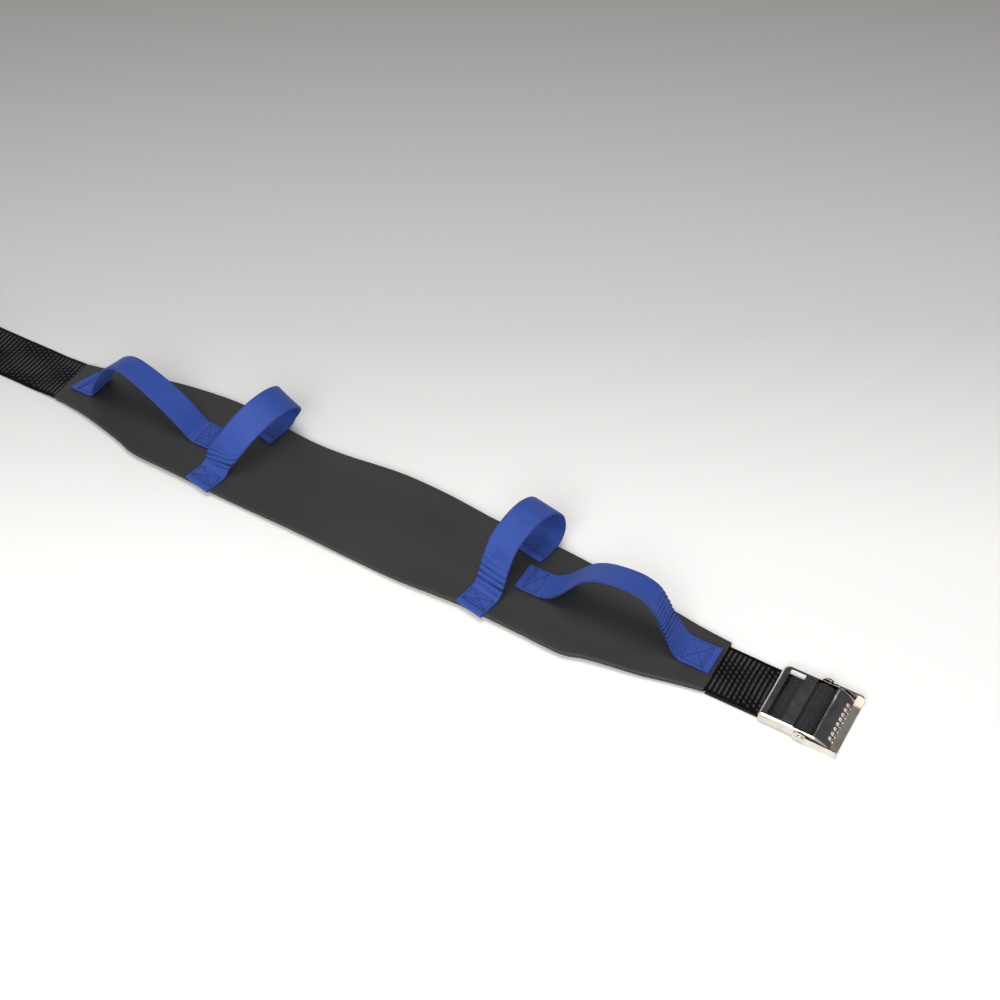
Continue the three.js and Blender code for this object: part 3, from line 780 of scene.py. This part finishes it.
def make_handle(handle, index):
    places, widths = handle_line(handle)
    length = run_of(places)[-1]
    folds = [gathers(*fold) for fold in handle["folds"]]
    drift = slow_wave(0.55, 1.7 * index + 0.4)

    def free(along, reach):
        """0 on the sewn tabs, 1 on the loop, and between them over a short reach."""
        return smoothstep(np.minimum(along, length - along), FLAT_TAB, FLAT_TAB + reach)

    def creased(across, along):
        return sum(fold(across, along) for fold in folds) * free(along, 6)

    def wave_at(across, along):
        return creased(across, along) + drift(across, along) * free(along, 12)

    def relief(across, along):
        """The turned-under hem at each sewn end."""
        end = np.minimum(along, length - along)
        hem = HEM_RISE * (1 - smoothstep(end, HEM - 0.8, HEM + 0.4)) * smoothstep(end, -0.2, 0.9)
        return np.where(end < 15, hem, 0.0)

    prefix = handle["name"]
    # tone=creased hands the crease depths to the blue material, which paints shade into the creases.
    obj = band(prefix + "_webbing", places, widths, HANDLE_WIDTH, HANDLE_THICK - 0.2, 1.0, BLUE,
               wave_at=wave_at, relief=relief, tone=creased,
               skew=lambda across, along: end_skew(handle, along, across), pinch=handle.get("pinch"))
    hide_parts(prefix + "_loop", prefix + "_first_tab", prefix + "_second_tab")
    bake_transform(obj)


STITCH_LENGTH = 2.5
STITCH_SPACE = 0.75
STITCH_RADIUS = 0.32
STITCH_SIDES = 7
STITCH_STEPS = 5


def stitch_row(work, start, end):
    """Stitches along a straight seam: short arched beads of thread, each sinking in at its ends."""
    start, end = np.array(start, float), np.array(end, float)
    total = np.linalg.norm(end - start)
    direction = (end - start) / total
    side = np.cross(direction, UP)
    count = max(1, int(total / (STITCH_LENGTH + STITCH_SPACE)))
    pitch = total / count
    turns = np.linspace(0, 2 * math.pi, STITCH_SIDES, endpoint=False)
    for k in range(count):
        rings = []
        for t in np.linspace(0, 1, STITCH_STEPS + 1):
            middle = start + direction * (k * pitch + t * (pitch - STITCH_SPACE))
            middle = middle + UP * (0.38 * math.sin(math.pi * t) - 0.16)
            radius = STITCH_RADIUS * (0.55 + 0.45 * math.sin(math.pi * t))
            spots = [middle + radius * (side * math.cos(a) + UP * math.sin(a)) for a in turns]
            rings.append([work.verts.new(spot * MM) for spot in spots])
        for a, b in zip(rings[:-1], rings[1:]):
            for j in range(STITCH_SIDES):
                work.faces.new((a[j - 1], a[j], b[j], b[j - 1]))
        work.faces.new(rings[0][::-1])
        work.faces.new(rings[-1])


def thread_object(name, rows, material=THREAD):
    work = bmesh.new()
    for start, end in rows:
        stitch_row(work, start, end)
    obj = built_object(name, work, material)
    smooth(obj.data)
    return obj


def make_tab_thread(handle, which):
    """The box and cross sewn through a tab."""
    along, across = handle_axes(handle)
    line = handle["line"]
    near, far = (line[0][0], line[2][0]) if which == "first" else (line[-1][0], line[-3][0])
    inward = 1 if far > near else -1
    a = near + inward * (HEM + 0.9)
    double = near + inward * (HEM + 3.3)
    b = far - inward * 0.4
    side = HANDLE_WIDTH / 2 - 2.6
    height = TAB_MIDDLE + HANDLE_THICK / 2 - 0.1

    def corner(distance, offset):
        pulled = distance + (end_skew(handle, distance - near, offset) if which == "first" else 0)
        return np.array([*handle["sewn"], height]) + along * pulled + across * offset

    rows = [(corner(place, -side), corner(place, side)) for place in (a, b, double)]
    rows += [(corner(a, edge), corner(b, edge)) for edge in (-side, side)]
    rows += [(corner(a, edge), corner(b, -edge)) for edge in (-side, side)]
    obj = thread_object(f"{handle['name']}_{which}_thread", rows)
    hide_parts(f"{handle['name']}_{which}_stitch")
    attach(obj, "belt")


for number, entry in enumerate(HANDLES):
    make_handle(entry, number)
    for end_name in ("first", "second"):
        make_tab_thread(entry, end_name)


# ---------------- the buckle

SHEET = 1.4
FRAME_HALF = (FRAME_HIGH[1] - FRAME_LOW[1]) / 2
FRAME_LEFT, FRAME_TOP = FRAME_LOW[0], FRAME_HIGH[2]
FRAME_BEND = PIN_X + 11
TOOTH_TIP = (PIN_X + 23.5, 3.4)
BASE_HALF = (BASE_HIGH[1] - BASE_LOW[1]) / 2
BASE_RIGHT = BASE_HIGH[0]


def extruded(name, outline, near, far, place):
    """A solid from a flat outline, run from near to far; place makes x, y, z of a point and a depth."""
    count = len(outline)
    vertices = [place(*point, depth) for depth in (near, far) for point in outline]
    faces = [tuple(range(count)), tuple(range(2 * count - 1, count - 1, -1))]
    faces += [(i, i + count, (i + 1) % count + count, (i + 1) % count) for i in range(count)]
    obj = mesh_object(name, vertices, faces, NICKEL)
    outward(obj)
    return obj


def prism(name, outline, near, far):
    """A solid from an outline in the XZ plane, between two values of Y."""
    return extruded(name, outline, near, far, lambda x, z, y: (x, y, z))


def slab(name, outline, low, high):
    """A solid from an outline in the XY plane, between two heights."""
    return extruded(name, outline, low, high, lambda x, y, z: (x, y, z))


def arc(cx, cy, radius, start, end, steps):
    """Points of an arc, in degrees."""
    return [(cx + radius * math.cos(a), cy + radius * math.sin(a))
            for a in np.radians(np.linspace(start, end, steps + 1))]


def rounded(x0, y0, x1, y1, radius):
    """A rectangle with round corners."""
    x0, y0, x1, y1 = x0 + radius, y0 + radius, x1 - radius, y1 - radius
    corners = ((x1, y1, 0), (x0, y1, 90), (x0, y0, 180), (x1, y0, 270))
    return [point for cx, cy, turn in corners for point in arc(cx, cy, radius, turn, turn + 90, 5)]


def bevel_where(obj, width, segments, chosen):
    """Rounds the edges that chosen picks, from their two ends in millimetres."""
    work = bmesh.new()
    work.from_mesh(obj.data)
    edges = [e for e in work.edges if chosen(*(np.array(v.co) / MM for v in e.verts))]
    bmesh.ops.bevel(work, geom=edges, offset=width * MM, segments=segments, affect="EDGES", profile=0.5)
    work.to_mesh(obj.data)
    work.free()


def cut(obj, others):
    """Takes the other solids away from the first, and deletes them."""
    for other in others:
        modifier = obj.modifiers.new("boolean", "BOOLEAN")
        modifier.operation = "DIFFERENCE"
        modifier.object = other
        modifier.solver = "EXACT"
    apply_modifiers(obj)
    for other in others:
        mesh = other.data
        bpy.data.objects.remove(other)
        bpy.data.meshes.remove(mesh)


BEVEL_ANGLE = 32
SHARP_ANGLE = 20


def finish_metal(obj, width):
    """Small rounds on every edge, and smooth shading between them."""
    work = bmesh.new()
    work.from_mesh(obj.data)
    bmesh.ops.remove_doubles(work, verts=work.verts, dist=0.004 * MM)
    bmesh.ops.dissolve_limit(work, angle_limit=math.radians(1.0), verts=work.verts, edges=work.edges)
    work.to_mesh(obj.data)
    work.free()
    round_edges(obj, width, 4, BEVEL_ANGLE)
    smooth(obj.data)
    obj.data.set_sharp_from_angle(angle=math.radians(SHARP_ANGLE))
    even = obj.modifiers.new("even", "WEIGHTED_NORMAL")
    even.keep_sharp = True
    even.weight = 90
    apply_modifiers(obj)


FAR_CORNER = 6.0
NEAR_CORNER = 3.2
RIM_ROUND = 2.6
TEETH_GAPS = 8
TEETH_PITCH = 5.25
TOOTH_DEPTH = 4.6
GAP_HALF = TEETH_PITCH * 0.33  # half the width of a gap between two teeth
GAP_NARROW = 0.45  # a gap's width at its inner end, as a share of the full one
GAP_SHOULDER = 0.82  # where a gap reaches its full width, as a share of its depth
GAP_FALL = 0.40  # slant of a gap's floor
PAST_TIP = 3.0  # how far a gap's cutter runs past the teeth
ABOVE_PLATE = 1.6  # how far it stands above the plate
ARCH_TOP = 7.8  # the far rail is cut away under this height, beside the slot
RAIL_STEP = FRAME_LEFT + 29.8  # where the rails narrow, beside the pin


def frame_stations(slope):
    """Where the frame's top and bottom change, from its tip back: (x, top height, bottom height)."""
    tip_x, tip_z = TOOTH_TIP
    low = FRAME_LOW[2]
    bend = arc(FRAME_BEND - 1.2, FRAME_TOP - 3.2, 3.2, 90 - math.degrees(slope), 90, 5)
    return [
        (tip_x + 0.2, tip_z + 0.3, tip_z - 0.9),
        (tip_x - 6.5, tip_z + 0.3 + 6.7 * math.tan(slope), low + 0.6),
        *[(x, z, low + 0.3) for x, z in bend], (PIN_X + 4, FRAME_TOP, low),
    ]


def frame_blank(slope):
    """The frame before its slots are cut: flat top, sloping tip, and a rolled rim on three sides."""
    stations = frame_stations(slope)

    def chain(inset):
        far, near = FRAME_HALF - inset, -FRAME_HALF + inset
        points = [(x, far) for x, _, _ in stations]
        for corner, side, steps in ((FAR_CORNER, 1, 9), (NEAR_CORNER, -1, 6)):
            start = 135 - 45 * side
            points += arc(FRAME_LEFT + corner, side * (FRAME_HALF - corner), corner - inset,
                          start, start + 90, steps)
        return points + [(x, near) for x, _, _ in reversed(stations)]

    back_x = [station[0] for station in reversed(stations)]

    def height(x, column):
        return np.interp(x, back_x, [station[column] for station in reversed(stations)])

    rings = [[(x, y, height(x, 2)) for x, y in chain(0)]]
    for angle in np.radians(np.linspace(0, 90, 7)):
        inset = RIM_ROUND * (1 - math.cos(angle))
        drop = RIM_ROUND * (1 - math.sin(angle))
        rings.append([(x, y, max(height(x, 1) - drop, height(x, 2) + 0.2)) for x, y in chain(inset)])
    count, last = len(rings[0]), (len(rings) - 1) * len(rings[0])
    faces = []
    for k in range(len(rings) - 1):
        for i in range(count - 1):
            faces.append((k * count + i, k * count + i + 1, (k + 1) * count + i + 1, (k + 1) * count + i))
    side = len(stations)
    for base in (0, last):
        for i in range(side - 1):
            faces.append((base + i, base + i + 1, base + count - 2 - i, base + count - 1 - i))
        faces.append(tuple(base + i for i in range(side - 1, count - side + 1)))
    tip = [k * count for k in range(len(rings))]
    faces.append(tuple(tip + [k + count - 1 for k in reversed(tip)]))
    points = [point for ring in rings for point in ring]
    obj = mesh_object("buckle_toothed_frame_plate", points, faces, NICKEL)
    outward(obj)
    return obj


def tooth_gap(middle, slope, normal, length):
    """The solid that cuts a notch, whose floor slants from the plate's top down to its tip."""
    ends = ((-TOOTH_DEPTH, GAP_NARROW), (-GAP_SHOULDER * TOOTH_DEPTH, 1), (PAST_TIP, 1))
    work = bmesh.new()
    for run, share in ends:
        for lift in (ABOVE_PLATE, 0.3 - GAP_FALL * (run + TOOTH_DEPTH)):
            x = FRAME_BEND + (length + run) * math.cos(slope) + lift * normal[0]
            z = FRAME_TOP - (length + run) * math.sin(slope) + lift * normal[1]
            for sign in (1, -1):
                work.verts.new(Vector((x, middle + sign * share * GAP_HALF, z)) * MM)
    bmesh.ops.convex_hull(work, input=work.verts)
    return built_object("gap", work, NICKEL)


def make_toothed_frame():
    left, bottom, top = FRAME_LEFT, FRAME_LOW[2], FRAME_TOP
    tip_x, tip_z = TOOTH_TIP
    slope = math.atan2(top - tip_z, tip_x - FRAME_BEND)
    length = math.hypot(tip_x - FRAME_BEND, top - tip_z)
    nx, nz = math.sin(slope), math.cos(slope)
    obj = frame_blank(slope)
    hollow_top = top - SHEET
    inner = FRAME_HALF - SHEET
    hollow = prism("hollow", [
        (left - 4, bottom - 2), (tip_x + 4, bottom - 2), (tip_x + 4, tip_z - SHEET * nz - 0.9),
        (tip_x - SHEET * nx, tip_z - SHEET * nz + 0.4), (FRAME_BEND - SHEET * 0.8, hollow_top),
        (left + SHEET + 1.2, hollow_top), (left + SHEET, hollow_top - 1.2), (left + SHEET, top - 3.6),
        (left - 4, top - 3.6),
    ], -inner, inner)
    bevel_where(hollow, 0.9, 3, lambda a, b: abs(a[1] - b[1]) < 0.01 and min(a[2], b[2]) > hollow_top - 1.5)
    lip = FRAME_BEND - 0.4
    slot = slab("slot", rounded(left + 6.7, -inner + 2.4, left + 19.6, inner - 1.5, 1.2), 4, top + 4)
    window = slab("window", rounded(RAIL_STEP, -inner + 0.1, lip, inner - 0.1, 0.8), 4, top + 4)
    arch = prism("arch", rounded(left + 5.5, -2, left + 20.8, ARCH_TOP, 1.6), inner - 1, FRAME_HALF + 2)
    cutters = [hollow, slot, window, arch]
    for i in range(TEETH_GAPS):
        cutters.append(tooth_gap((i - (TEETH_GAPS - 1) / 2) * TEETH_PITCH, slope, (nx, nz), length))
    cut(obj, cutters)
    bevel_where(obj, 0.8, 4, lambda a, b: (
        max(abs(a[0] - lip), abs(b[0] - lip)) < 0.1 and min(a[2], b[2]) > top - 0.6))
    finish_metal(obj, 0.22)
    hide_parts("buckle_toothed_frame")
    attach(obj, "buckle_frame")


BASE_WALL = 8.3  # height of the base's side walls
EAR_RADIUS = 6.0


def make_base():
    plate_left = PIN_X + 8.5
    outline = [
        (plate_left + 1, 0), (BASE_RIGHT - 2.2, 0), *arc(BASE_RIGHT - 2.6, 2.6, 2.6, -80, 0, 4),
        *arc(BASE_RIGHT - 3.6, BASE_WALL - 3.6, 3.6, 5, 90, 5), (plate_left, BASE_WALL + 0.2),
        *arc(PIN_X - 0.8, PIN_Z, EAR_RADIUS, 28, 248, 16), (PIN_X + 3.5, 0.5),
    ]
    obj = prism("buckle_base_plate", outline, -BASE_HALF, BASE_HALF)
    inner = BASE_HALF - SHEET
    left = PIN_X - 20

    def between(name, right, low, high):
        return slab(name, [(left, -inner), (right, -inner), (right, inner), (left, inner)], low, high)

    cut(obj, [between("hollow", BASE_RIGHT + 8, SHEET, 30), between("under", plate_left, -3, 5)])
    finish_metal(obj, 0.35)
    obj.data.materials.append(SHADED_SATIN_NICKEL)
    # Painted shade: the upward faces low inside the base, its inner floor, take the darker nickel.
    for polygon in obj.data.polygons:
        if polygon.normal.z > 0.9 and polygon.center.z < 2 * MM:
            polygon.material_index = 1
    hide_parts("buckle_base_jaw")
    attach(obj, "buckle_base")


PIN_SIDES = 40


def make_pin():
    """The pin: a turned shank with domed, riveted heads."""
    half = (PIN_HIGH[1] - PIN_LOW[1]) / 2
    head = (PIN_HIGH[2] - PIN_LOW[2]) / 2
    shank = 1.9
    profile = [(0, -half), (head * 0.55, -half + 0.08), (head * 0.9, -half + 0.35), (head, -half + 0.8),
               (head * 0.8, -half + 0.95), (shank, -half + 1.0)]
    profile += [(r, -y) for r, y in reversed(profile)]
    turns = np.linspace(0, 2 * math.pi, PIN_SIDES, endpoint=False)
    vertices = [
        (PIN_X + r * math.cos(a), y, PIN_Z + r * math.sin(a)) for r, y in profile[1:-1] for a in turns]
    poles = len(vertices), len(vertices) + 1
    vertices += [(PIN_X, y, PIN_Z) for y in (-half, half)]
    last = poles[0] - PIN_SIDES
    faces = []
    for j in range(PIN_SIDES):
        k = (j + 1) % PIN_SIDES
        faces += [(poles[0], k, j), (poles[1], last + j, last + k)]
        faces += [(i + j, i + k, i + k + PIN_SIDES, i + j + PIN_SIDES) for i in range(0, last, PIN_SIDES)]
    obj = mesh_object("buckle_pin", vertices, faces, NICKEL)
    outward(obj)
    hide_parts("buckle_hinge_pin")
    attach(obj, "buckle_base")


make_toothed_frame()
make_base()
make_pin()


def make_strap_seams():
    """Rows of thread through the doubled strap beside the pin."""
    height = 2 * STRAP_THICK + LAYER_GAP + 0.05
    half = STRAP_WIDTH / 2 - 3
    rows = [((x, -half, height), (x, half, height)) for x in (PIN_X - 25.6, PIN_X - 23.4, PIN_X - 21.0)]
    obj = thread_object("buckle_strap_thread", rows, SEAM_THREAD)
    set_weave(obj, np.array([v.co for v in obj.data.vertices]) / MM)
    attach(obj, "buckle_link")


make_strap_seams()


# ---------------- pieces kept from the CAD model

for kept, finish in (("foam_pad", FOAM), ("core_webbing", BLACK)):
    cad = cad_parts[kept]
    cad.data.materials.clear()
    cad.data.materials.append(finish)


# ---------------- floor, light and background

def make_floor():
    """A pale table whose colour is painted to darken away from the front: a painted light falloff, as on a
    sheet of paper lit from before it.
    """
    size = 6000
    corners = [(-size, -size, 0), (size, -size, 0), (size, size, 0), (-size, size, 0)]
    material, tree, shader = new_material("floor", (0.85, 0.85, 0.84), 0.85)
    floor = mesh_object("floor", corners, [(0, 1, 2, 3)], material)
    away = node(tree, "ShaderNodeVectorMath", operation="DOT_PRODUCT")
    join(tree, object_coordinates(tree), away.inputs[0])
    away.inputs[1].default_value = (-math.sin(CAMERA_AZIMUTH), math.cos(CAMERA_AZIMUTH), 0)
    # Painted light falloff: near white at the front, greying away from the camera's side.
    made = node(tree, "ShaderNodeValToRGB")
    stops = made.color_ramp.elements
    stops[0].position, stops[0].color = 0.0, (0.93, 0.93, 0.925, 1)
    stops[1].position, stops[1].color = 1.0, (0.30, 0.285, 0.275, 1)
    middle = ((0.26, (0.88, 0.875, 0.862)), (0.46, (0.60, 0.60, 0.595)), (0.68, (0.47, 0.467, 0.46)))
    for position, level in middle:
        stops.new(position).color = (*level, 1)
    share = math_node(tree, "DIVIDE", math_node(tree, "ADD", away.outputs["Value"], 0.4), 1.4)
    join(tree, share, made.inputs[0])
    join(tree, made.outputs[0], shader.inputs["Base Color"])
    shader.inputs["Specular IOR Level"].default_value = 0.2


def area_light(name, place, target, size, power, color):
    data = bpy.data.lights.new(name, "AREA")
    data.shape = "RECTANGLE"
    data.size, data.size_y = size
    data.energy = power
    data.color = color
    light = link(bpy.data.objects.new(name, data))
    light.location = place
    light.rotation_euler = (Vector(target) - Vector(place)).to_track_quat("-Z", "Y").to_euler()


# Where a black flag hangs, above and beyond the table, so that level metal and vinyl stay dark.
FLAG_DIRECTION = Vector((0.22, 0.62, 0.70)).normalized()
FLAG_EDGE = 0.70
FLAG_CORE = 0.85


def make_world():
    world = bpy.data.worlds.new("studio")
    bpy.context.scene.world = world
    world.use_nodes = True
    tree = world.node_tree
    background = tree.nodes["Background"]
    coordinates = node(tree, "ShaderNodeTexCoord").outputs["Generated"]
    split = node(tree, "ShaderNodeSeparateXYZ")
    join(tree, coordinates, split.inputs[0])
    room = ramp(tree, split.outputs[2], 0.0, 0.9, (0.80, 0.79, 0.77), (0.42, 0.42, 0.43))
    toward = node(tree, "ShaderNodeVectorMath", operation="DOT_PRODUCT")
    join(tree, coordinates, toward.inputs[0])
    toward.inputs[1].default_value = FLAG_DIRECTION
    flag = ramp(tree, toward.outputs["Value"], FLAG_EDGE, FLAG_CORE, (1, 1, 1), (0.12, 0.13, 0.155))
    join(tree, multiply_colors(tree, room, flag), background.inputs["Color"])


make_floor()
make_world()
area_light("top_softbox", (0.15, -0.05, 1.9), (0.1, 0.0, 0.0), (1.2, 0.7), 17, (1.0, 0.99, 0.97))
area_light("front_softbox", (0.5, -1.5, 1.4), (0.1, 0.0, 0.0), (1.4, 1.0), 24, (1.0, 0.985, 0.96))
bpy.context.scene.view_settings.view_transform = "Standard"
